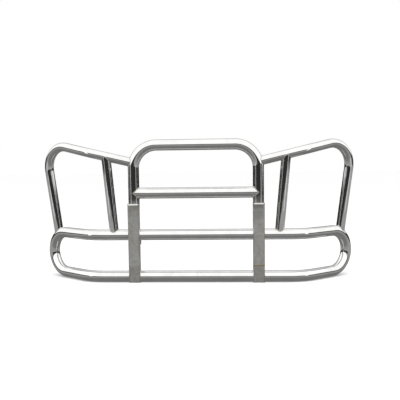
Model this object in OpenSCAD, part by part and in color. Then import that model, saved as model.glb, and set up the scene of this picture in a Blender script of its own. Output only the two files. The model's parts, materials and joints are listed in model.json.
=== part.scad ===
// Tubular front grille guard for a heavy truck, with a fold-forward bracket mount.
// The guard is drawn standing up, with its front towards -Y and the truck towards +Y.

/* [Main tubes] */
// Outer diameter of the bumper tubes, hoop and crossbar
main_od = 76.2; // [60:0.1:90]
// Wall of every tube
tube_wall = 2; // [1.5:0.1:4]
// Height of the upper bumper tube's centre
upper_z = 330; // [280:1:380]
// Height of the crossbar's centre
crossbar_z = 620; // [600:1:720]
// Height of the hoop's top, at its centre line
hoop_z = 950; // [900:1:1100]
// Distance from the middle plane to each hoop leg
leg_x = 430; // [400:1:480]
// Bend radius of the hoop's two top bends
hoop_bend = 160; // [120:1:220]

/* [Rearward sweep] */
// Distance from the middle plane to the corner where the ends turn rearward
sweep_x = 735; // [700:1:800]
// Angle of the swept ends
sweep_angle = 35; // [20:1:45]
// Bend radius of the sweep
sweep_bend = 300; // [200:1:400]
// Length of the swept stretch up to the end bow
sweep_len = 280; // [240:1:340]

/* [Wings] */
// Outer diameter of the wing tubes and struts
wing_od = 63.5; // [50:0.1:70]
// Height where the wing tube meets the hoop leg
wing_root_z = 830; // [780:1:850]
// Height of the wing tube at the sweep corner
wing_kink_z = 902; // [860:1:930]
// Angle of the wing's swept top
wing_sweep = 28.4; // [22:0.1:34]
// Height of the wing's top outer corner, before it is rounded
wing_tip_z = 992; // [950:1:1030]
// Distance of that corner from the sweep corner
wing_tip_len = 436; // [410:1:470]
// Distance of the wing's foot along the bumper tubes' swept stretch
wing_foot_len = 361; // [345:1:375]
// Height of the foot's centre, inside the end bow
wing_foot_z = 310; // [300:1:320]
// Bend radius of the wing's top outer corner
wing_bend = 158; // [120:1:180]
// Distance from the middle plane to the strut's top
strut_top_x = 620; // [580:1:640]
// Distance from the middle plane to the strut's foot
strut_foot_x = 572; // [550:1:600]

/* [Uprights] */
// Width of the folded channel
upright_w = 80; // [77.5:0.5:90]
// Thickness of its plate
upright_t = 2.5; // [2:0.5:3]
// Distance of its front face from the plane of the tubes
upright_front = 45.5; // [44:0.5:50]
// Height of its top
upright_top = 548; // [500:1:570]
// Height of the crease where the face kicks back
kick_z = 110; // [100:1:120]
// Angle of the kicked-back stretch
kick_angle = 3.5; // [2:0.5:4]
// Outside radius of the folded edges
fold_r = 9; // [5:1:12]

/* [Fold-forward mount] */
// Distance from the middle plane to the centre of each truck bracket
bracket_x = 442; // [436:1:446]
// Thickness of the bracket plate
bracket_t = 12; // [10:1:14]
// Thickness of each ear
ear_t = 8; // [6:1:10]
// Gap between an ear and the bracket plate
ear_gap = 0.5; // [0.3:0.1:1]
// Distance of the pivot behind the plane of the tubes
pivot_y = 78; // [76:1:82]
// Height of the pivot
pivot_z = 70; // [66:1:74]
// Distance of the latch bolt behind the plane of the tubes
latch_y = 74; // [70:1:76]
// Height of the latch bolt
latch_z = 318; // [312:1:322]
// How far the guard folds forward
fold_max = 80; // [60:1:80]
// Frame bolt hole diameter in the bracket plate
frame_hole_d = 17.5; // [13:0.5:22]
// Spacing of the frame bolts, front to back
frame_bolt_y = 60; // [50:1:62]
// Spacing of the frame bolts, up and down
frame_bolt_z = 100; // [80:1:120]

/* [Hidden] */
$fn = 96;
main_r = main_od / 2;
wing_r = wing_od / 2;
bend_proud = 0.15;                               // a bend swells this much beyond its straights,
bend_lap = 1;                                    // which reach this far into it
lower_z = main_r + bend_proud;                   // the lower tube's bends rest on z = 0
weld_gap = 0.5;                                  // left at a coped joint for the weld
sweep_dir = [cos(sweep_angle), sin(sweep_angle), 0];
sweep_corner = [sweep_x, 0, 0];
bow_r = (upper_z - lower_z) / 2;
up = [0, 0, 1];
far = 400;                                       // longer than any cut needs

// Paths of the bent tubes, right-hand side
function swept(along, z) = sweep_corner + along * sweep_dir + z * up;
strut_top_z = wing_root_z
    + (wing_kink_z - wing_root_z) * (strut_top_x - leg_x) / (sweep_x - leg_x);
hoop_path = [[-leg_x, 0, upper_z], [-leg_x, 0, hoop_z], [leg_x, 0, hoop_z], [leg_x, 0, upper_z]];
wing_path = [[leg_x, 0, wing_root_z], [sweep_x, 0, wing_kink_z],
    sweep_corner + wing_tip_len * [cos(wing_sweep), sin(wing_sweep), 0] + wing_tip_z * up,
    swept(wing_foot_len, wing_foot_z)];
strut_path = [[strut_top_x, 0, strut_top_z], [strut_foot_x, 0, upper_z]];
function mirrored(p) = [-p[0], p[1], p[2]];
function bumper_path(z) = [mirrored(swept(sweep_len, z)), [-sweep_x, 0, z], [sweep_x, 0, z],
    swept(sweep_len, z)];

function unit(v) = v / norm(v);
function turn_at(a, b, c) = acos(unit(b - a) * unit(c - b));

// The origin is the middle of the footprint: the end bows reach furthest back
back_y = (sweep_len + bow_r) * sin(sweep_angle) + main_r;
middle_y = (back_y - upright_front) / 2;

// Uprights
flange_y = 7.5;                                  // the flanges stop this far ahead of the tubes' plane
leg_clear = 0.3;
notch_clear = 0.4;
back_plate_t = 3;

// Mount hardware
ear_x = bracket_t / 2 + ear_gap + ear_t / 2;     // from the bracket's centre to an ear's centre
ear_face = ear_x + ear_t / 2;
eye_r = 30;
latch_eye_r = 22;
bracket_front_y = 46;
bracket_back_y = 190;
bracket_top_z = 345;
bracket_eye_r = 28;
lip_t = 8;
lip_w = 35;
pivot_r = 10;
bush_r = 13;
latch_r = 8;
running = 0.05;
hole_clear = 0.25;
slot_clear = 0.5;
pivot_head = 12.5;
pivot_af = 30;
pivot_nut_h = 16;
latch_af = 24;
latch_head = 10;
washer_t = 3;
washer_ratio = 1.85;                             // a washer's outer radius to its bolt's radius
thread_end = 3;                                  // a bolt stands this far out of its nut
stop_pin_r = 8;
stop_pin_at = 44;                                // distance from the pivot
heel_w = 28;
heel_len = 46;
heel_angle = -70;                                // direction of the heel when the guard stands
stop_gap = 0.33;
stop_angle = heel_angle + fold_max
    + asin((heel_w / 2 + stop_pin_r + stop_gap) / stop_pin_at);
spacer_y = [18, 40];
spacer_z = [185, 225];
pad_t = 5.7;
hub_r = 14;
hub_len = 24;
hub_floor = 2;                                   // metal left at the hub's closed end
lever_reach = 70;
lever_arm_w = 12;
lever_arm_t = 8;
arm_inset = 6;                                   // the arm's middle lies this far inside the hub's end
grip_r = 9;
grip_len = 42;
grip_floor = 12;                                 // rubber below the arm's end
grip_fit = 0.1;
frame_bolts_mid = [142, 210];

// ---------- Placing ----------

// From the tubes' own plane to the origin
module place() {
    translate([0, -middle_y, 0]) children();
}

module on_left() {
    mirror([1, 0, 0]) children();
}

module on_both() {
    children();
    on_left() children();
}

// Local z becomes +X, starting x away from the bracket's centre plane
module across(x, y, z) {
    translate([bracket_x + x, y, z]) rotate([0, 90, 0]) children();
}

// Flat outlines drawn in (y, z), each given a thickness about x = 0
module plate(t) {
    for (i = [0 : $children - 1])
        rotate([90, 0, 90]) linear_extrude(t, center = true) children(i);
}

module along(a, b) {
    u = unit(b - a);
    e1 = unit(cross(abs(u[2]) < 0.9 ? up : [1, 0, 0], u));
    e2 = cross(u, e1);
    multmatrix([[e1[0], e2[0], u[0], a[0]], [e1[1], e2[1], u[1], a[1]],
        [e1[2], e2[2], u[2], a[2]], [0, 0, 0, 1]])
        children();
}

// ---------- Bent tubes ----------

module bent_rod(a, b, c, bend_r, r) {
    turn = turn_at(a, b, c);
    u = unit(b - a);
    n = unit(cross(u, c - b));
    out = cross(u, n);
    mid = b - u * bend_r * tan(turn / 2) - out * bend_r;
    multmatrix([[out[0], u[0], n[0], mid[0]], [out[1], u[1], n[1], mid[1]],
        [out[2], u[2], n[2], mid[2]], [0, 0, 0, 1]])
        rotate_extrude(angle = turn) translate([bend_r, 0]) circle(r + bend_proud);
}

// A solid rod along a path, with a bend radius for each inner corner
module rod(path, bends, r) {
    last = len(path) - 1;
    setback = [for (i = [0 : last]) i == 0 || i == last ? 0
        : bends[i - 1] * tan(turn_at(path[i - 1], path[i], path[i + 1]) / 2)];
    for (i = [0 : last - 1]) {
        u = unit(path[i + 1] - path[i]);
        a = path[i] + u * (i == 0 ? 0 : setback[i] - bend_lap);
        b = path[i + 1] - u * (i + 1 == last ? 0 : setback[i + 1] - bend_lap);
        along(a, b) cylinder(r = r, h = norm(b - a));
    }
    if (last > 1)
        for (i = [1 : last - 1])
            bent_rod(path[i - 1], path[i], path[i + 1], bends[i - 1], r);
}

module tube(path, bends, r) {
    difference() {
        rod(path, bends, r);
        rod(path, bends, r - tube_wall);
    }
}

module main_tube(path, bends) {
    tube(path, bends, main_r);
}

module wing_tube(path, bends) {
    tube(path, bends, wing_r);
}

// The space of a straight main tube along X, for coping what lands on it
module bumper_space(z, clear) {
    translate([-sweep_x, 0, z]) rotate([0, 90, 0]) cylinder(r = main_r + clear, h = 2 * sweep_x);
}

module hoop_space(clear) {
    rod(hoop_path, [hoop_bend, hoop_bend], main_r + clear);
}

module leg_space(clear) {
    translate([leg_x, 0, upper_z]) cylinder(r = main_r + clear, h = hoop_z - hoop_bend - upper_z);
}

module bow_rod(r) {
    a = swept(sweep_len, upper_z);
    multmatrix([[sweep_dir[0], 0, sweep_dir[1], a[0]], [sweep_dir[1], 0, -sweep_dir[0], a[1]],
        [0, 1, 0, lower_z + bow_r], [0, 0, 0, 1]])
        rotate([0, 0, -90]) rotate_extrude(angle = 180) translate([bow_r, 0]) circle(r);
}

// ---------- Guard: tubes ----------

module hoop_tube() {
    color("silver") difference() {
        main_tube(hoop_path, [hoop_bend, hoop_bend]);
        bumper_space(upper_z, weld_gap);
    }
}

module hoop_crossbar() {
    color("silver") difference() {
        main_tube([[-leg_x, 0, crossbar_z], [leg_x, 0, crossbar_z]], []);
        on_both() leg_space(weld_gap);
    }
}

module bumper_tube(z) {
    color("silver") main_tube(bumper_path(z), [sweep_bend, sweep_bend]);
}

module end_bow() {
    color("silver") difference() {
        bow_rod(main_r);
        bow_rod(main_r - tube_wall);
    }
}

module wing_hoop() {
    color("silver") difference() {
        wing_tube(wing_path, [sweep_bend, wing_bend]);
        hoop_space(weld_gap);
        bow_rod(main_r + weld_gap);
    }
}

module wing_strut() {
    color("silver") difference() {
        wing_tube(strut_path, []);
        rod(wing_path, [sweep_bend, wing_bend], wing_r + weld_gap);
        bumper_space(upper_z, weld_gap);
    }
}

// ---------- Guard: uprights ----------

// Column of the channel's plan: its two front edges are folded to a radius
module channel_column(w, front, back, h, r) {
    translate([-w / 2, r - front, 0]) cube([w, front - r + back, h]);
    translate([r - w / 2, -front, 0]) cube([w - 2 * r, 2 * r, h]);
    for (s = [-1, 1]) translate([s * (w / 2 - r), r - front, 0]) cylinder(r = r, h = h);
}

// Side view of the channel: folded top edge, kicked-back foot, cut away behind the lower tube
module channel_side(w, front, back, top, foot, r) {
    lean = (kick_z - foot) * tan(kick_angle);
    plate(w) {
        polygon([[-front, kick_z], [-front, top - r], [back, top - r], [back, lower_z],
            [-main_r / 2, foot], [lean - front, foot]]);
        translate([r - front, top - 2 * r]) square([front - r + back, 2 * r]);
        translate([r - front, top - r]) circle(r);
    }
}

module channel(inset, back, foot) {
    r = fold_r - inset;
    intersection() {
        translate([0, 0, foot])
            channel_column(upright_w - 2 * inset, upright_front - inset, back, upright_top - foot, r);
        channel_side(upright_w, upright_front - inset, back, upright_top - inset, foot, r);
    }
}

module upright() {
    color("darkgray") difference() {
        translate([leg_x, 0, 0]) difference() {
            channel(0, -flange_y, 0);
            channel(upright_t, upright_w, -upright_t);
        }
        leg_space(leg_clear);
        bumper_space(upper_z, notch_clear);
        bumper_space(lower_z, notch_clear);
    }
}

module back_plate() {
    foot = lower_z + main_r + 1;
    color("darkgray") translate([leg_x - upright_w / 2, -flange_y, foot])
        cube([upright_w, back_plate_t, upper_z - main_r - 1 - foot]);
}

// ---------- Guard: ears and bolts ----------

// An ear lies in (y, z): a web between the two bumper tubes, a pivot eye, a latch eye and a heel
module ear_shape() {
    front = back_plate_t - flange_y;
    rear = latch_y + latch_eye_r - 4;
    plate(ear_t) {
        polygon([[front, lower_z], [front, upper_z], [main_r, upper_z],
            [latch_y, latch_z + latch_eye_r], [rear, latch_z], [rear, pivot_z],
            [pivot_y, pivot_z - eye_r], [main_r / 2, lower_z - main_r / 2]]);
        translate([pivot_y, pivot_z]) circle(eye_r);
        translate([latch_y, latch_z]) circle(latch_eye_r);
        translate([pivot_y, pivot_z]) rotate(heel_angle) translate([0, -heel_w / 2])
            square([heel_len, heel_w]);
        translate([pivot_y, pivot_z]) rotate(heel_angle) translate([heel_len, 0])
            circle(heel_w / 2);
    }
}

module ear(side) {
    color("gray") translate([bracket_x + side * ear_x, 0, 0]) difference() {
        ear_shape();
        plate(2 * ear_t) {
            translate([0, lower_z]) circle(main_r + weld_gap);
            translate([0, upper_z]) circle(main_r + weld_gap);
            translate([pivot_y, pivot_z]) circle(pivot_r + hole_clear);
            translate([latch_y, latch_z]) circle(latch_r + hole_clear);
        }
    }
}

module ear_spacer() {
    w = bracket_t + 2 * ear_gap;
    color("gray") translate([bracket_x - w / 2, spacer_y[0], spacer_z[0]])
        cube([w, spacer_y[1] - spacer_y[0], spacer_z[1] - spacer_z[0]]);
}

module bump_pad() {
    inset = 2;
    color("black") translate([bracket_x - bracket_t / 2, spacer_y[1], spacer_z[0] + inset])
        cube([bracket_t, pad_t, spacer_z[1] - spacer_z[0] - 2 * inset]);
}

// A hexagon with its corners turned off at one or both ends
module hexagon(af, h, ends) {
    corner = af / sqrt(3);
    face_r = 0.48 * af;                          // of the round face left at a turned end
    cut = corner - face_r;
    low = ends > 1 ? cut / 2 : 0;
    intersection() {
        cylinder(r = corner, h = h, $fn = 6);
        rotate_extrude()
            polygon([[0, 0], [corner - 2 * low, 0], [corner, low], [corner, h - cut / 2],
                [corner - cut, h], [0, h]]);
    }
}

// Head on the inner side, nut on the outer side
module pivot_bolt() {
    grip = 2 * ear_face + 2 * washer_t;
    color("dimgray") across(-ear_face - washer_t, pivot_y, pivot_z) {
        cylinder(r = pivot_r, h = grip + pivot_nut_h + thread_end);
        rotate([180, 0, 0]) hexagon(pivot_af, pivot_head, 1);
    }
}

module washer(x, y, z, bore_r) {
    color("lightgray") across(x, y, z) difference() {
        cylinder(r = washer_ratio * bore_r, h = washer_t);
        translate([0, 0, -1]) cylinder(r = bore_r + hole_clear, h = washer_t + 2);
    }
}

module pivot_washer_pair() {
    washer(-ear_face - washer_t, pivot_y, pivot_z, pivot_r);
    washer(ear_face, pivot_y, pivot_z, pivot_r);
}

module pivot_nut() {
    color("dimgray") across(ear_face + washer_t, pivot_y, pivot_z) difference() {
        hexagon(pivot_af, pivot_nut_h, 2);
        translate([0, 0, -1]) cylinder(r = pivot_r + running, h = pivot_nut_h + 2);
    }
}

// Head on the outer side; the other end screws into the lever's hub
module latch_bolt() {
    tip = ear_face + washer_t + hub_len - thread_end;
    color("dimgray") across(-tip, latch_y, latch_z) {
        cylinder(r = latch_r, h = tip + ear_face + washer_t);
        translate([0, 0, tip + ear_face + washer_t]) hexagon(latch_af, latch_head, 1);
    }
}

module latch_washer_pair() {
    washer(-ear_face - washer_t, latch_y, latch_z, latch_r);
    washer(ear_face, latch_y, latch_z, latch_r);
}

// ---------- Clamp levers ----------

lever_x = -ear_face - washer_t - ear_gap;        // the hub's face, beside the washer
arm_x = lever_x - hub_len + arm_inset;

module clamp_lever() {
    arm_len = lever_reach - grip_floor;
    color("dimgray") {
        difference() {
            across(lever_x - hub_len, latch_y, latch_z) cylinder(r = hub_r, h = hub_len);
            across(lever_x - hub_len + hub_floor, latch_y, latch_z)
                cylinder(r = latch_r + running, h = hub_len);
        }
        translate([bracket_x + arm_x, latch_y, latch_z]) difference() {
            translate([-lever_arm_t / 2, -lever_arm_w / 2, -arm_len])
                cube([lever_arm_t, lever_arm_w, arm_len]);
            rotate([0, 90, 0]) cylinder(r = hub_r - 1, h = 2 * lever_arm_t, center = true);
        }
    }
}

// A rubber sleeve over the lever's arm, closed at its foot
module lever_grip() {
    slot_t = lever_arm_t + 2 * grip_fit;
    slot_w = lever_arm_w + 2 * grip_fit;
    color("black") translate([bracket_x + arm_x, latch_y, latch_z - lever_reach]) difference() {
        union() {
            translate([0, 0, grip_r]) cylinder(r = grip_r, h = grip_len - grip_r);
            intersection() {
                translate([0, 0, grip_r]) sphere(grip_r);
                cylinder(r = grip_r, h = grip_r);
            }
        }
        translate([-slot_t / 2, -slot_w / 2, grip_floor - grip_fit])
            cube([slot_t, slot_w, lever_reach]);
    }
}

// ---------- Truck brackets ----------

// The latch slot follows the arc that the latch bolt makes about the pivot
module latch_slot() {
    reach = norm([latch_y - pivot_y, latch_z - pivot_z]);
    slot_r = latch_r + slot_clear;
    plate(2 * bracket_t) translate([latch_y, latch_z]) circle(slot_r);
    plate(2 * bracket_t) intersection() {
        translate([pivot_y, pivot_z]) difference() {
            circle(reach + slot_r);
            circle(reach - slot_r);
        }
        translate([bracket_front_y - 20, pivot_z]) square([latch_y - bracket_front_y + 20, far]);
    }
}

module bracket_shape() {
    plate(bracket_t) {
        polygon([[bracket_front_y, pivot_z + 10], [bracket_front_y, bracket_top_z - 6],
            [bracket_front_y + 6, bracket_top_z], [bracket_back_y, bracket_top_z],
            [bracket_back_y, pivot_z + 5], [pivot_y + 12, pivot_z - 25], [pivot_y, pivot_z]]);
        translate([pivot_y, pivot_z]) circle(bracket_eye_r);
    }
}

module bracket_plate() {
    color("dimgray") translate([bracket_x, 0, 0]) difference() {
        bracket_shape();
        plate(2 * bracket_t) {
            translate([pivot_y, pivot_z]) circle(bush_r);
            translate([pivot_y, pivot_z]) rotate(stop_angle) translate([stop_pin_at, 0])
                circle(stop_pin_r);
        }
        for (y = [-1, 1], z = [-1, 1])
            plate(2 * bracket_t)
                translate(frame_bolts_mid + [y * frame_bolt_y, z * frame_bolt_z] / 2)
                    circle(d = frame_hole_d);
        latch_slot();
    }
}

module bracket_lip() {
    foot = pivot_z + 5;
    color("dimgray") translate([bracket_x - bracket_t / 2, bracket_back_y, foot])
        cube([bracket_t + lip_w, lip_t, bracket_top_z - foot]);
}

module pivot_bush() {
    proud = 0.4;
    color("goldenrod") across(-bracket_t / 2 - proud, pivot_y, pivot_z) difference() {
        cylinder(r = bush_r, h = bracket_t + 2 * proud);
        translate([0, 0, -1]) cylinder(r = pivot_r + running, h = bracket_t + 2);
    }
}

module stop_pin() {
    at = [pivot_y, pivot_z] + stop_pin_at * [cos(stop_angle), sin(stop_angle)];
    color("dimgray") across(-ear_face, at[0], at[1]) cylinder(r = stop_pin_r, h = 2 * ear_face);
}

// ---------- Nodes ----------

place() hoop_tube();
place() hoop_crossbar();
place() bumper_tube(upper_z);  // upper_bumper_tube
place() bumper_tube(lower_z);  // lower_bumper_tube
place() on_left() end_bow();  // left_end_bow
place() end_bow();  // right_end_bow
place() on_left() wing_hoop();  // left_wing_hoop
place() wing_hoop();  // right_wing_hoop
place() on_left() wing_strut();  // left_wing_strut
place() wing_strut();  // right_wing_strut
place() on_left() upright();  // left_upright
place() upright();  // right_upright
place() on_left() back_plate();  // left_back_plate
place() back_plate();  // right_back_plate
place() on_left() ear(-1);  // left_inner_ear
place() on_left() ear(1);  // left_outer_ear
place() ear(-1);  // right_inner_ear
place() ear(1);  // right_outer_ear
place() on_both() ear_spacer();  // ear_spacers
place() on_both() bump_pad();  // bump_pads
place() on_both() pivot_bolt();  // pivot_bolts
place() on_both() pivot_washer_pair();  // pivot_washers
place() on_both() pivot_nut();  // pivot_nuts
place() on_both() latch_bolt();  // latch_bolts
place() on_both() latch_washer_pair();  // latch_washers
place() on_left() clamp_lever();  // left_clamp_lever
place() clamp_lever();  // right_clamp_lever
place() on_left() lever_grip();  // left_lever_grip
place() lever_grip();  // right_lever_grip
place() on_left() bracket_plate();  // left_bracket_plate
place() bracket_plate();  // right_bracket_plate
place() on_left() bracket_lip();  // left_bracket_lip
place() bracket_lip();  // right_bracket_lip
place() on_both() pivot_bush();  // pivot_bushes
place() on_both() stop_pin();  // stop_pins
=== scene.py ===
import json
from math import acos, ceil, cos, pi, radians, sin, tan

import bmesh
import bpy
from mathutils import Matrix, Vector
from mathutils.bvhtree import BVHTree


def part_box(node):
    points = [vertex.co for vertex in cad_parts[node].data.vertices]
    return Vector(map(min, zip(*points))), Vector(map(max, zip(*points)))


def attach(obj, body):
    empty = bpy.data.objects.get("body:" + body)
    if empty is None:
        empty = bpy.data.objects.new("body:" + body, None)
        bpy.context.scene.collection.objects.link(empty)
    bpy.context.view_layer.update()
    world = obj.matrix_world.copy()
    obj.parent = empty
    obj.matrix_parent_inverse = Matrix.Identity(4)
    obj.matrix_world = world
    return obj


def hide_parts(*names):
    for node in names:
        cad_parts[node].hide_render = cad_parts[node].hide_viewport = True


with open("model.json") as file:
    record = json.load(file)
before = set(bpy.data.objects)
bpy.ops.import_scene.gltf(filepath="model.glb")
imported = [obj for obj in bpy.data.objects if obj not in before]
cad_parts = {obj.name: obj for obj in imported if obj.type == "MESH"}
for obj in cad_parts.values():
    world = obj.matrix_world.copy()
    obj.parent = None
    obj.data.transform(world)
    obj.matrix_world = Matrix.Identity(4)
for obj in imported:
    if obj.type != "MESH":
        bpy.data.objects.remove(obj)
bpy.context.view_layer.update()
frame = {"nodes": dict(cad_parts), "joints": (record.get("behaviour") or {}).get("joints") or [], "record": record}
BODY = "guard"

# ---------- Driving sizes, in metres ----------

MAIN_R = 0.0381
WING_R = 0.03175
WALL = 0.002
LOWER_Z = 0.03825
UPPER_Z = 0.330
CROSSBAR_Z = 0.620
HOOP_Z = 0.950
LEG_X = 0.430
HOOP_BEND = 0.160
SWEEP_X = 0.735
SWEEP_ANGLE = radians(35)
SWEEP_BEND = 0.300
SWEEP_LEN = 0.280
WING_ROOT_Z = 0.830
WING_KINK_Z = 0.902
WING_SWEEP = radians(28.4)
WING_TIP_LEN = 0.436
WING_TIP_Z = 0.992
WING_FOOT_LEN = 0.361
WING_FOOT_Z = 0.310
WING_BEND = 0.158
STRUT_TOP_X = 0.620
STRUT_FOOT_X = 0.572
UPRIGHT_HALF = 0.040
KICK_Z = 0.110
PIVOT_BEHIND = 0.078            # of the plane that the straight tubes lie in

AROUND = 72                     # faces round a tube
ARC_STEP = radians(3)
SPAN_STEP = 0.05
BEAD_SIDES = 10
RIPPLE = 0.0032                 # pitch of a weld bead's ripples

fold = next(j for j in frame["joints"] if j["name"] == "guard_fold")
PLANE_Y = fold["pos_m"][1] - PIVOT_BEHIND
SWEEP_DIR = Vector((cos(SWEEP_ANGLE), sin(SWEEP_ANGLE), 0))


# ---------- Camera ----------

def make_camera():
    place = Vector((0.1863, PLANE_Y - 3.4004, 0.7974))
    yaw, pitch, roll = radians(-2.66), radians(-3.84), radians(-0.713)
    ahead = Vector((sin(yaw) * cos(pitch), cos(yaw) * cos(pitch), sin(pitch)))
    level = Vector((cos(yaw), -sin(yaw), 0))
    above = level.cross(ahead)
    right = cos(roll) * level + sin(roll) * above
    top = cos(roll) * above - sin(roll) * level
    data = bpy.data.cameras.new("camera")
    data.sensor_width = 36
    data.lens = 44.51
    camera = bpy.data.objects.new("camera", data)
    camera.matrix_world = Matrix.Translation(place) @ Matrix((right, top, -ahead)).transposed().to_4x4()
    bpy.context.scene.collection.objects.link(camera)
    bpy.context.scene.camera = camera


make_camera()


# ---------- Node helpers ----------

class Nodes:
    """A short way to write a node tree."""

    def __init__(self, tree):
        self.tree = tree
        tree.nodes.clear()

    def add(self, kind, inputs=None, **settings):
        node = self.tree.nodes.new(kind)
        for key, value in settings.items():
            setattr(node, key, value)
        for key, value in (inputs or {}).items():
            self.feed(node.inputs[key], value)
        return node

    def feed(self, socket, value):
        if isinstance(value, bpy.types.NodeSocket):
            self.tree.links.new(value, socket)
        elif isinstance(value, bpy.types.Node):
            self.tree.links.new(value.outputs[0], socket)
        else:
            socket.default_value = value

    def maths(self, operation, a, b=0.0, c=0.0, clamp=False):
        return self.add("ShaderNodeMath", {0: a, 1: b, 2: c}, operation=operation, use_clamp=clamp)

    def step(self, value, low, high, out_low=0.0, out_high=1.0):
        node = self.add("ShaderNodeMapRange", {"Value": value, "From Min": low, "From Max": high,
                                               "To Min": out_low, "To Max": out_high})
        node.interpolation_type = "SMOOTHSTEP"
        return node

    def mix(self, share, a, b):
        node = self.add("ShaderNodeMix", data_type="RGBA")
        self.feed(node.inputs["Factor"], share)
        self.feed(node.inputs[6], a)
        self.feed(node.inputs[7], b)
        return node.outputs[2]

    def noise(self, vector, scale, detail=3.0, roughness=0.55, distortion=0.0):
        return self.add("ShaderNodeTexNoise", {"Vector": vector, "Scale": scale, "Detail": detail,
                                               "Roughness": roughness, "Distortion": distortion})

    def stretched(self, vector, scale):
        return self.add("ShaderNodeMapping", {"Vector": vector, "Scale": scale})


def grey(r, g=None, b=None):
    return (r, r if g is None else g, r if b is None else b, 1)


def new_material(name):
    material = bpy.data.materials.new(name)
    material.use_nodes = True
    return material, Nodes(material.node_tree)


def finish_material(n, shader):
    n.add("ShaderNodeOutputMaterial", {"Surface": shader.outputs[0]})


# ---------- Materials ----------

def polished_steel():
    """Buffed stainless tube: faint lines round it, wiped patches, a slightly wavy wall."""
    material, n = new_material("polished_steel")
    place = n.add("ShaderNodeTexCoord").outputs["Object"]
    along = n.add("ShaderNodeUVMap", uv_map="tube")
    lines = n.noise(n.stretched(along, (3.0, 900.0, 1.0)), 1.0, 4.0, 0.7)
    scratches = n.noise(n.stretched(along, (60.0, 14.0, 1.0)), 1.0, 5.0, 0.75)
    smears = n.noise(place, 9.0, 5.0, 0.6, 0.8)
    spots = n.noise(place, 70.0, 2.0, 0.5)
    dents = n.noise(place, 14.0, 1.0, 0.4)
    film = n.maths("MULTIPLY", n.step(smears, 0.52, 0.72), n.step(spots, 0.35, 0.75))
    roughness = n.maths("MULTIPLY_ADD", film, 0.09, n.maths("MULTIPLY_ADD", lines, 0.035, 0.035))
    colour = n.mix(n.step(smears, 0.35, 0.75), grey(0.86, 0.86, 0.855), grey(0.78, 0.775, 0.755))
    colour = n.mix(n.maths("MULTIPLY", n.step(scratches, 0.66, 0.8), 0.35), colour, grey(0.6, 0.6, 0.58))
    wavy = n.add("ShaderNodeBump", {"Height": dents, "Strength": 0.28, "Distance": 0.0012})
    fine = n.add("ShaderNodeBump", {"Height": lines, "Strength": 0.05, "Distance": 0.00005,
                                    "Normal": wavy})
    finish_material(n, n.add("ShaderNodeBsdfPrincipled", {
        "Base Color": colour, "Metallic": 1.0, "Roughness": roughness, "Normal": fine}))
    return material


def sheet_steel():
    """Folded stainless sheet with a rolled grain and cloudy patches, with painted shade beside its side edges and
    a painted reflection above the crease.
    """
    material, n = new_material("sheet_steel")
    place = n.add("ShaderNodeTexCoord").outputs["Object"]
    part = n.add("ShaderNodeSeparateXYZ", {0: place})
    x, z = part.outputs["X"], part.outputs["Z"]
    grain = n.noise(n.stretched(place, (900.0, 900.0, 12.0)), 1.0, 3.0, 0.6)
    cloud = n.noise(place, 16.0, 5.0, 0.62, 1.2)
    blots = n.noise(place, 45.0, 3.0, 0.6)
    scuffs = n.noise(n.stretched(place, (30.0, 60.0, 160.0)), 1.0, 4.0, 0.7, 0.5)
    # Painted shade: a brownish darker band 1.5 to 10 mm in from each upright's side edges, where the rounded fold
    # turns away from the light.
    off_middle = n.maths("ABSOLUTE", n.maths("SUBTRACT", n.maths("ABSOLUTE", x), LEG_X))
    edge = n.maths("MULTIPLY", n.step(off_middle, 0.030, 0.0385),
                   n.step(n.noise(place, 28.0, 3.0), 0.35, 0.62))
    # Painted reflection: a yellow-olive band just above the kick crease, stronger on the right side.
    above_crease = n.maths("MULTIPLY", n.step(z, KICK_Z + 0.001, KICK_Z + 0.004),
                           n.step(z, KICK_Z + 0.011, KICK_Z + 0.015, 1.0, 0.0))
    right_side = n.step(x, -0.2, 0.2, 0.25, 1.0)
    painted_crease_reflection = n.maths("MULTIPLY", above_crease, right_side)
    colour = n.mix(n.step(cloud, 0.3, 0.72), grey(0.80, 0.80, 0.77), grey(0.63, 0.62, 0.58))
    colour = n.mix(n.maths("MULTIPLY", n.step(blots, 0.6, 0.78), 0.35), colour, grey(0.5, 0.49, 0.46))
    colour = n.mix(n.maths("MULTIPLY", n.step(scuffs, 0.66, 0.8), 0.3), colour, grey(0.9))
    # Painted shade beside the uprights' side edges.
    colour = n.mix(n.maths("MULTIPLY", edge, 0.55), colour, grey(0.46, 0.36, 0.25))
    # Painted reflection above the crease, stronger on the right.
    colour = n.mix(n.maths("MULTIPLY", painted_crease_reflection, 0.8), colour, grey(0.50, 0.40, 0.16))
    roughness = n.maths("MULTIPLY_ADD", cloud, 0.10,
                        n.maths("MULTIPLY_ADD", grain, 0.05, n.maths("MULTIPLY", scuffs, 0.05)))
    oil_can = n.add("ShaderNodeBump", {"Height": n.noise(place, 7.0, 1.0, 0.4), "Strength": 0.35,
                                       "Distance": 0.002})
    fine = n.add("ShaderNodeBump", {"Height": grain, "Strength": 0.10, "Distance": 0.0001,
                                    "Normal": oil_can})
    finish_material(n, n.add("ShaderNodeBsdfPrincipled", {
        "Base Color": colour, "Metallic": 1.0, "Roughness": roughness, "Normal": fine}))
    return material


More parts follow.
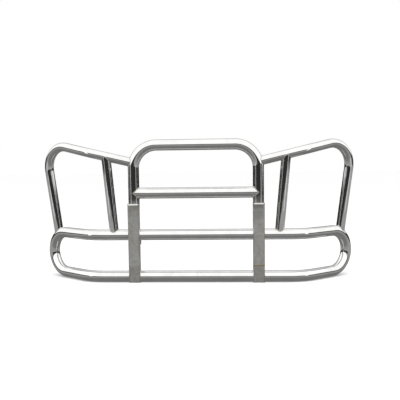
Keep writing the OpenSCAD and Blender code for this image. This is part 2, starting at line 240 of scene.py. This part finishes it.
def weld_steel():
    """A bead left after light brushing, with straw and blue heat colours."""
    material, n = new_material("weld_steel")
    place = n.add("ShaderNodeTexCoord").outputs["Object"]
    heat = n.noise(place, 60.0, 3.0, 0.6)
    soot = n.noise(place, 22.0, 4.0, 0.6)
    colour = n.mix(n.step(heat, 0.42, 0.62), grey(0.66, 0.64, 0.60), grey(0.50, 0.42, 0.30))
    colour = n.mix(n.step(heat, 0.62, 0.74), colour, grey(0.28, 0.30, 0.42))
    colour = n.mix(n.maths("MULTIPLY", n.step(soot, 0.5, 0.75), 0.6), colour, grey(0.16, 0.15, 0.14))
    roughness = n.maths("MULTIPLY_ADD", soot, 0.3, 0.16)
    rough = n.add("ShaderNodeBump", {"Height": n.noise(place, 900.0, 2.0), "Strength": 0.3,
                                     "Distance": 0.0002})
    finish_material(n, n.add("ShaderNodeBsdfPrincipled", {
        "Base Color": colour, "Metallic": 1.0, "Roughness": roughness, "Normal": rough}))
    return material


def edge_mask(n, radius, low, high):
    """1 beside an edge of the mesh, 0 on its flats."""
    round_normal = n.add("ShaderNodeBevel", {"Radius": radius}, samples=6)
    flat_normal = n.add("ShaderNodeNewGeometry").outputs["Normal"]
    alike = n.add("ShaderNodeVectorMath", {0: round_normal, 1: flat_normal}, operation="DOT_PRODUCT")
    return n.step(alike.outputs["Value"], low, high, 1.0, 0.0)


def powder_coat(name, shade):
    """Black powder coat: orange peel, dust, and bare steel where edges are rubbed."""
    material, n = new_material(name)
    place = n.add("ShaderNodeTexCoord").outputs["Object"]
    peel = n.noise(place, 420.0, 2.0, 0.5)
    dust = n.noise(place, 13.0, 5.0, 0.65, 0.6)
    chips = n.noise(place, 95.0, 4.0, 0.7)
    worn = n.maths("MULTIPLY", edge_mask(n, 0.0016, 0.90, 0.995), n.step(chips, 0.52, 0.6))
    colour = n.mix(n.step(dust, 0.45, 0.8), grey(shade), grey(shade * 2.6, shade * 2.5, shade * 2.3))
    colour = n.mix(worn, colour, grey(0.42, 0.40, 0.37))
    roughness = n.maths("MULTIPLY_ADD", dust, 0.22, 0.30)
    bump = n.add("ShaderNodeBump", {"Height": n.maths("SUBTRACT", peel, worn), "Strength": 0.25,
                                    "Distance": 0.0004,
                                    "Normal": n.add("ShaderNodeBevel", {"Radius": 0.0010}, samples=6)})
    finish_material(n, n.add("ShaderNodeBsdfPrincipled", {
        "Base Color": colour, "Metallic": n.maths("MULTIPLY", worn, 0.9), "Roughness": roughness,
        "Normal": bump}))
    return material


def plated(name, clean, dull, rough_low):
    """Plated or turned metal: turning lines, patches of dull plating, softened edges."""
    material, n = new_material(name)
    place = n.add("ShaderNodeTexCoord").outputs["Object"]
    patches = n.noise(place, 55.0, 4.0, 0.6, 0.7)
    turned = n.noise(n.stretched(place, (2600.0, 90.0, 90.0)), 1.0, 2.0, 0.6)
    colour = n.mix(n.step(patches, 0.38, 0.66), clean, dull)
    roughness = n.maths("MULTIPLY_ADD", patches, 0.22, n.maths("MULTIPLY_ADD", turned, 0.06, rough_low))
    bump = n.add("ShaderNodeBump", {"Height": turned, "Strength": 0.18, "Distance": 0.0002,
                                    "Normal": n.add("ShaderNodeBevel", {"Radius": 0.0008}, samples=6)})
    finish_material(n, n.add("ShaderNodeBsdfPrincipled", {
        "Base Color": colour, "Metallic": 1.0, "Roughness": roughness, "Normal": bump}))
    return material


def rubber(name, shade):
    material, n = new_material(name)
    place = n.add("ShaderNodeTexCoord").outputs["Object"]
    pores = n.noise(place, 1300.0, 2.0, 0.6)
    bloom = n.noise(place, 40.0, 4.0, 0.6)
    colour = n.mix(n.step(bloom, 0.45, 0.8), grey(shade), grey(shade * 3.0, shade * 2.9, shade * 2.7))
    roughness = n.maths("MULTIPLY_ADD", bloom, 0.25, 0.48)
    bump = n.add("ShaderNodeBump", {"Height": pores, "Strength": 0.35, "Distance": 0.0003})
    finish_material(n, n.add("ShaderNodeBsdfPrincipled", {
        "Base Color": colour, "Roughness": roughness, "Normal": bump}))
    return material


MATERIALS = {
    "polished_tube": polished_steel(),
    "satin_plate": sheet_steel(),
    "ear_coat": powder_coat("ear_coat", 0.022),
    "bracket_coat": powder_coat("bracket_coat", 0.017),
    "zinc_steel": plated("zinc_steel", grey(0.66, 0.67, 0.68), grey(0.44, 0.44, 0.42), 0.20),
    "lever_steel": plated("lever_steel", grey(0.09, 0.09, 0.095), grey(0.05, 0.045, 0.04), 0.26),
    "grip_rubber": rubber("grip_rubber", 0.014),
    "pad_rubber": rubber("pad_rubber", 0.020),
    "bronze": plated("bronze", grey(0.60, 0.40, 0.17), grey(0.36, 0.24, 0.11), 0.24),
}
WELD = weld_steel()


def dress_cad_nodes():
    for part in frame["record"]["subparts"]:
        slots = frame["nodes"][part["node"]].data.materials
        slots.clear()
        slots.append(MATERIALS[part["material_slot"]])


dress_cad_nodes()


# ---------- Tubes ----------

def at(x, z, behind=0.0):
    return Vector((x, PLANE_Y + behind, z))


def swept(length, z):
    return at(SWEEP_X, z) + length * SWEEP_DIR


def mirror_path(points):
    return [Vector((-p.x, p.y, p.z)) for p in points]


def centre_line(points, bends):
    """Points along a path whose inner corners are rounded, and the direction at each."""
    stops = []
    start = points[0]
    for i, bend in enumerate(bends, 1):
        before = (points[i] - points[i - 1]).normalized()
        after = (points[i + 1] - points[i]).normalized()
        turn = acos(before.dot(after))
        setback = bend * tan(turn / 2)
        enter = points[i] - before * setback
        add_span(stops, start, enter, before)
        inward = (after - before.dot(after) * before).normalized()
        steps = ceil(turn / ARC_STEP)
        for k in range(1, steps):
            a = turn * k / steps
            stops.append((enter + bend * (sin(a) * before + (1 - cos(a)) * inward),
                          cos(a) * before + sin(a) * inward))
        start = points[i] + after * setback
    last = (points[-1] - points[-2]).normalized()
    add_span(stops, start, points[-1], last)
    return stops


def add_span(stops, a, b, direction):
    steps = max(1, ceil((b - a).length / SPAN_STEP))
    for k in range(steps + 1):
        stops.append((a.lerp(b, k / steps), direction.copy()))


def frames_along(stops, side):
    """Two cross directions at every stop, carried along without twist."""
    out = []
    across = side
    for place, direction in stops:
        across = (across - across.dot(direction) * direction).normalized()
        out.append((place, direction, across, direction.cross(across)))
    return out


def ring_of(stop, radius):
    place, _, e1, e2 = stop
    return [place + radius * (cos(a) * e1 + sin(a) * e2)
            for a in (2 * pi * k / AROUND for k in range(AROUND))]


def cope(ring, direction, end, trees, reach):
    """Runs each point of a ring along direction until it meets another tube, or the end's plane."""
    out = []
    for point in ring:
        furthest = (end - point).dot(direction)
        hits = [hit[3] for hit in (tree.ray_cast(point, direction, reach) for tree in trees)
                if hit[0] is not None]
        out.append(point + direction * min(hits + [furthest]))
    return out


def shell_rings(stops, radius, start_trees, end_trees):
    """Rings of one wall of a tube, with its coped ends fitted to the tubes in trees."""
    rings = [ring_of(stop, radius) for stop in stops]
    reach = 4 * MAIN_R
    if start_trees:
        keep = next(i for i, s in enumerate(stops) if (s[0] - stops[0][0]).length > 1.6 * MAIN_R)
        rings = [cope(rings[keep], -stops[0][1], stops[0][0], start_trees, reach)] + rings[keep:]
    if end_trees:
        far = len(stops) - 1
        cut = len(stops) - next(i for i in range(1, far)
                                if (stops[far - i][0] - stops[far][0]).length > 1.6 * MAIN_R)
        cut -= len(stops) - len(rings)
        rings = rings[:cut] + [cope(rings[cut - 1], stops[far][1], stops[far][0], end_trees, reach)]
    return rings


def mesh_object(name, bm, material, smooth=True):
    mesh = bpy.data.meshes.new(name)
    bmesh.ops.recalc_face_normals(bm, faces=bm.faces)
    bm.to_mesh(mesh)
    bm.free()
    for polygon in mesh.polygons:
        polygon.use_smooth = smooth
    mesh.materials.append(material)
    piece = bpy.data.objects.new(name, mesh)
    bpy.context.scene.collection.objects.link(piece)
    return piece


def skin(bm, rings, uv):
    """Quads between rings, with u along the tube and v around it, both in metres."""
    rows = [[bm.verts.new(p) for p in ring] for ring in rings]
    length = 0.0
    for low, high in zip(rows, rows[1:]):
        ahead = length + (high[0].co - low[0].co).length
        for k in range(AROUND):
            after = (k + 1) % AROUND
            face = bm.faces.new((low[k], low[after], high[after], high[k]))
            turn = 2 * pi * MAIN_R / AROUND
            for loop, place in zip(face.loops, ((length, k), (length, k + 1), (ahead, k + 1), (ahead, k))):
                loop[uv].uv = (place[0], place[1] * turn)
        length = ahead
    return rows


def make_tube(node, points, bends, radius, start_trees=(), end_trees=(), side=None):
    """A hollow tube that stands for a CAD node. Returns its outer end rings and its search tree."""
    stops = frames_along(centre_line(points, bends), side or Vector((0, 1, 0)))
    outer = shell_rings(stops, radius, start_trees, end_trees)
    inner = shell_rings(stops, radius - WALL, start_trees, end_trees)
    bm = bmesh.new()
    uv = bm.loops.layers.uv.new("tube")
    outer_rows = skin(bm, outer, uv)
    inner_rows = skin(bm, inner, uv)
    for i in (0, -1):
        for k in range(AROUND):
            after = (k + 1) % AROUND
            bm.faces.new((outer_rows[i][k], outer_rows[i][after], inner_rows[i][after], inner_rows[i][k]))
    piece = mesh_object(node + "_skin", bm, MATERIALS["polished_tube"])
    mark_sharp_ends(piece)
    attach(piece, BODY)
    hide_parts(node)
    tree = BVHTree.FromPolygons([v.co for v in piece.data.vertices],
                                [list(p.vertices) for p in piece.data.polygons])
    return outer[0], outer[-1], tree


def mark_sharp_ends(piece):
    piece.data.set_sharp_from_angle(angle=radians(40))


def weld_bead(name, path, radius, closed=True):
    """A rippled bead along a path, half sunk in the corner that it fills."""
    points = even_points(path, RIPPLE / 4, closed)
    count = len(points)
    bm = bmesh.new()
    rows = []
    across = None
    for i, point in enumerate(points):
        before = points[(i - 1) % count] if closed else points[max(i - 1, 0)]
        after = points[(i + 1) % count] if closed else points[min(i + 1, count - 1)]
        direction = (after - before).normalized()
        across = across or direction.orthogonal()
        across = (across - across.dot(direction) * direction).normalized()
        other = direction.cross(across)
        taper = 1.0 if closed else min(1.0, 0.35 + 0.12 * min(i, count - 1 - i))
        swell = radius * taper * (1 + 0.13 * abs(sin(pi * i / 4)) + 0.05 * sin(0.37 * i))
        rows.append([bm.verts.new(point + swell * (cos(a) * across + sin(a) * other))
                     for a in (2 * pi * k / BEAD_SIDES for k in range(BEAD_SIDES))])
    shift = closest_shift(rows[-1], rows[0]) if closed else 0
    pairs = list(zip(rows, rows[1:], [0] * count))
    if closed:
        pairs.append((rows[-1], rows[0], shift))
    for low, high, turn in pairs:
        for k in range(BEAD_SIDES):
            after = (k + 1) % BEAD_SIDES
            bm.faces.new((low[k], low[after], high[(after + turn) % BEAD_SIDES],
                          high[(k + turn) % BEAD_SIDES]))
    if not closed:
        bm.faces.new(rows[0])
        bm.faces.new(rows[-1])
    piece = mesh_object(name, bm, WELD)
    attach(piece, BODY)


def closest_shift(last, first):
    """How many places the first ring must turn to meet the last one straight on."""
    return min(range(BEAD_SIDES), key=lambda s: (last[0].co - first[s].co).length)


def even_points(path, gap, closed):
    loop = list(path) + ([path[0]] if closed else [])
    lengths = [0.0]
    for a, b in zip(loop, loop[1:]):
        lengths.append(lengths[-1] + (b - a).length)
    count = max(8, round(lengths[-1] / gap))
    out = []
    k = 0
    for i in range(count if closed else count + 1):
        want = lengths[-1] * i / count
        while k < len(lengths) - 2 and lengths[k + 1] < want:
            k += 1
        span = lengths[k + 1] - lengths[k]
        out.append(loop[k].lerp(loop[k + 1], (want - lengths[k]) / span if span > 0 else 0.0))
    return out


def build_tubes():
    upper_right = [swept(SWEEP_LEN, UPPER_Z), at(SWEEP_X, UPPER_Z)]
    lower_right = [swept(SWEEP_LEN, LOWER_Z), at(SWEEP_X, LOWER_Z)]
    trees = {}
    butts = {}
    for node, right in (("upper_bumper_tube", upper_right), ("lower_bumper_tube", lower_right)):
        path = mirror_path(right) + right[::-1]
        first, last, trees[node] = make_tube(node, path, [SWEEP_BEND] * 2, MAIN_R)
        butts["left_" + node], butts["right_" + node] = first, last
    for name, ring in butts.items():
        weld_bead(name + "_seam", ring, 0.0005)

    hoop_path = [at(-LEG_X, UPPER_Z), at(-LEG_X, HOOP_Z), at(LEG_X, HOOP_Z), at(LEG_X, UPPER_Z)]
    bumper = [trees["upper_bumper_tube"]]
    first, last, trees["hoop"] = make_tube("hoop_tube", hoop_path, [HOOP_BEND] * 2, MAIN_R, bumper, bumper)
    weld_bead("left_leg_weld", first, 0.0030)
    weld_bead("right_leg_weld", last, 0.0030)

    hoop = [trees["hoop"]]
    bar = [at(-LEG_X, CROSSBAR_Z), at(LEG_X, CROSSBAR_Z)]
    first, last, _ = make_tube("hoop_crossbar", bar, [], MAIN_R, hoop, hoop)
    weld_bead("left_crossbar_weld", first, 0.0026)
    weld_bead("right_crossbar_weld", last, 0.0026)

    for side in ("left", "right"):
        flip = mirror_path if side == "left" else list
        bow_tree = make_bow(side, flip)
        tip = at(SWEEP_X + WING_TIP_LEN * cos(WING_SWEEP), WING_TIP_Z, WING_TIP_LEN * sin(WING_SWEEP))
        wing = flip([at(LEG_X, WING_ROOT_Z), at(SWEEP_X, WING_KINK_Z), tip,
                     swept(WING_FOOT_LEN, WING_FOOT_Z)])
        root, foot, wing_tree = make_tube(side + "_wing_hoop", wing, [SWEEP_BEND, WING_BEND], WING_R,
                                          hoop, [bow_tree, trees["upper_bumper_tube"]])
        weld_bead(side + "_wing_root_weld", root, 0.0026)
        weld_bead(side + "_wing_foot_weld", foot, 0.0026)
        slope = (WING_KINK_Z - WING_ROOT_Z) / (SWEEP_X - LEG_X)
        strut_top = WING_ROOT_Z + slope * (STRUT_TOP_X - LEG_X)
        strut = flip([at(STRUT_TOP_X, strut_top), at(STRUT_FOOT_X, UPPER_Z)])
        top, bottom, _ = make_tube(side + "_wing_strut", strut, [], WING_R, [wing_tree], bumper)
        weld_bead(side + "_strut_top_weld", top, 0.0024)
        weld_bead(side + "_strut_foot_weld", bottom, 0.0024)


def make_bow(side, flip):
    """The half ring that joins the two bumper tubes' ends."""
    bow_r = (UPPER_Z - LOWER_Z) / 2
    low, high = swept(SWEEP_LEN, LOWER_Z), swept(SWEEP_LEN, UPPER_Z)
    corner_low, corner_high = (p + bow_r * SWEEP_DIR for p in (low, high))
    path = flip([low, corner_low, corner_high, high])
    _, _, tree = make_tube(side + "_end_bow", path, [bow_r] * 2, MAIN_R)
    return tree


build_tubes()


# ---------- Small welds and details ----------

def tube_arc(x, z, radius, first, last):
    """Points round a bumper tube at height z, with angles counted from straight back, up."""
    steps = 40
    return [at(x, z + radius * sin(a), radius * cos(a))
            for a in (first + (last - first) * k / steps for k in range(steps + 1))]


def ear_welds():
    for ear in ("left_inner_ear", "left_outer_ear", "right_inner_ear", "right_outer_ear"):
        low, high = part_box(ear)
        outside = (low.x, high.x)
        for tube, z, first, last in (("lower", LOWER_Z, -42, 94), ("upper", UPPER_Z, -94, -2)):
            for name, x in zip(("low", "high"), outside):
                arc = tube_arc(x, z, MAIN_R + 0.0005, radians(first), radians(last))
                weld_bead(f"{ear}_{tube}_{name}_weld", arc, 0.0022, closed=False)


UPRIGHT_WELD_REACH = radians(68)        # each way from a tube's foremost line


def upright_welds():
    for side, sign in (("left", -1), ("right", 1)):
        for tube, z in (("lower", LOWER_Z), ("upper", UPPER_Z)):
            for edge, shift in (("inner", -UPRIGHT_HALF), ("outer", UPRIGHT_HALF)):
                arc = tube_arc(sign * (LEG_X + shift), z, MAIN_R + 0.0004,
                               pi - UPRIGHT_WELD_REACH, pi + UPRIGHT_WELD_REACH)
                weld_bead(f"{side}_upright_{tube}_{edge}_weld", arc, 0.0011, closed=False)


def lever_grips():
    """Ribbed rubber sleeves with a domed foot, turned about the lever's arm."""
    for side in ("left", "right"):
        low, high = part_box(side + "_lever_grip")
        middle = (low + high) / 2
        radius = (high.x - low.x) / 2
        profile = []
        for k in range(13):
            a = pi / 2 * k / 12
            profile.append((radius * sin(a), low.z + radius * (1 - cos(a))))
        ribs = 7
        body = high.z - profile[-1][1] - 0.0015
        for k in range(1, ribs * 8):
            dip = 0.0011 * (0.5 - 0.5 * cos(2 * pi * k / 8))
            profile.append((radius - dip, profile[12][1] + body * k / (ribs * 8)))
        profile += [(radius, high.z - 0.0012), (radius - 0.0012, high.z), (0.002, high.z)]
        bm = bmesh.new()
        sides = 40
        turns = [2 * pi * k / sides for k in range(sides)]
        rows = [[bm.verts.new((middle.x + r * cos(a), middle.y + r * sin(a), z)) for a in turns]
                for r, z in profile[1:]]
        for a, b in zip(rows, rows[1:]):
            for k in range(sides):
                after = (k + 1) % sides
                bm.faces.new((a[k], a[after], b[after], b[k]))
        bm.faces.new(rows[0])
        bm.faces.new(rows[-1])
        piece = mesh_object(side + "_ribbed_grip", bm, MATERIALS["grip_rubber"])
        piece.data.set_sharp_from_angle(angle=radians(50))
        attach(piece, side + "_lever")
        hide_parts(side + "_lever_grip")


ear_welds()
upright_welds()
lever_grips()


# ---------- Studio ----------

def make_floor():
    material, n = new_material("floor")
    place = n.add("ShaderNodeTexCoord").outputs["Object"]
    tone = n.mix(n.noise(place, 1.5, 3.0), grey(0.95), grey(0.97))
    finish_material(n, n.add("ShaderNodeBsdfPrincipled", {"Base Color": tone, "Roughness": 0.9}))
    bm = bmesh.new()
    reach = 60.0
    bmesh.ops.create_grid(bm, x_segments=8, y_segments=8, size=reach)
    floor = mesh_object("floor", bm, material, smooth=False)
    floor.location.z = -0.0005
    floor.visible_glossy = False      # the tubes mirror the grey surround below, not this pale floor


def make_world():
    """A plain studio surround: light above and dimmer behind, a dark gap, grey that deepens below."""
    world = bpy.data.worlds.new("studio")
    world.use_nodes = True
    bpy.context.scene.world = world
    n = Nodes(world.node_tree)
    toward = n.add("ShaderNodeTexCoord").outputs["Generated"]
    part = n.add("ShaderNodeSeparateXYZ", {0: toward})
    depth, height = part.outputs["Y"], part.outputs["Z"]
    low = n.mix(n.step(height, -0.60, -0.12), grey(0.19), grey(0.36))
    high = n.mix(n.step(depth, 0.25, 0.95), grey(1.20), grey(0.40))
    surround = n.mix(n.step(height, -0.085, -0.060), low, grey(0.03))
    surround = n.mix(n.step(height, 0.09, 0.17), surround, high)
    seen = n.add("ShaderNodeLightPath").outputs["Is Camera Ray"]
    colour = n.mix(seen, surround, grey(1.0))
    background = n.add("ShaderNodeBackground", {"Color": colour, "Strength": 1.0})
    n.add("ShaderNodeOutputWorld", {"Surface": background.outputs[0]})


def soft_light(name, place, size, watts, aim, mirrored):
    data = bpy.data.lights.new(name, "AREA")
    data.shape = "RECTANGLE"
    data.size, data.size_y = size
    data.energy = watts
    light = bpy.data.objects.new(name, data)
    light.location = place
    light.rotation_mode = "QUATERNION"
    light.rotation_quaternion = (Vector(aim) - Vector(place)).to_track_quat("-Z", "Y")
    light.visible_camera = False
    light.visible_glossy = mirrored
    bpy.context.scene.collection.objects.link(light)


SOFTBOX_SIZE = (0.5, 2.5)
SOFTBOX_ASIDE = 3.2
SOFTBOX_AHEAD = 2.2
SOFTBOX_WATTS = 3.0


def make_lights():
    """An overhead box, a front fill, and a tall softbox each side that upright tubes mirror."""
    soft_light("overhead", (0.3, -1.2, 3.6), (4.0, 3.0), 60, (0, 0, 0.3), False)
    soft_light("front_fill", (-1.8, -3.4, 2.0), (2.0, 1.6), 18, (0, 0, 0.4), False)
    for name, side in (("left_softbox", -1), ("right_softbox", 1)):
        middle = SOFTBOX_SIZE[1] / 2
        soft_light(name, (side * SOFTBOX_ASIDE, -SOFTBOX_AHEAD, middle), SOFTBOX_SIZE,
                   SOFTBOX_WATTS, (0, 0, middle), True)


make_floor()
make_world()
make_lights()
bpy.context.scene.view_settings.view_transform = "Standard"
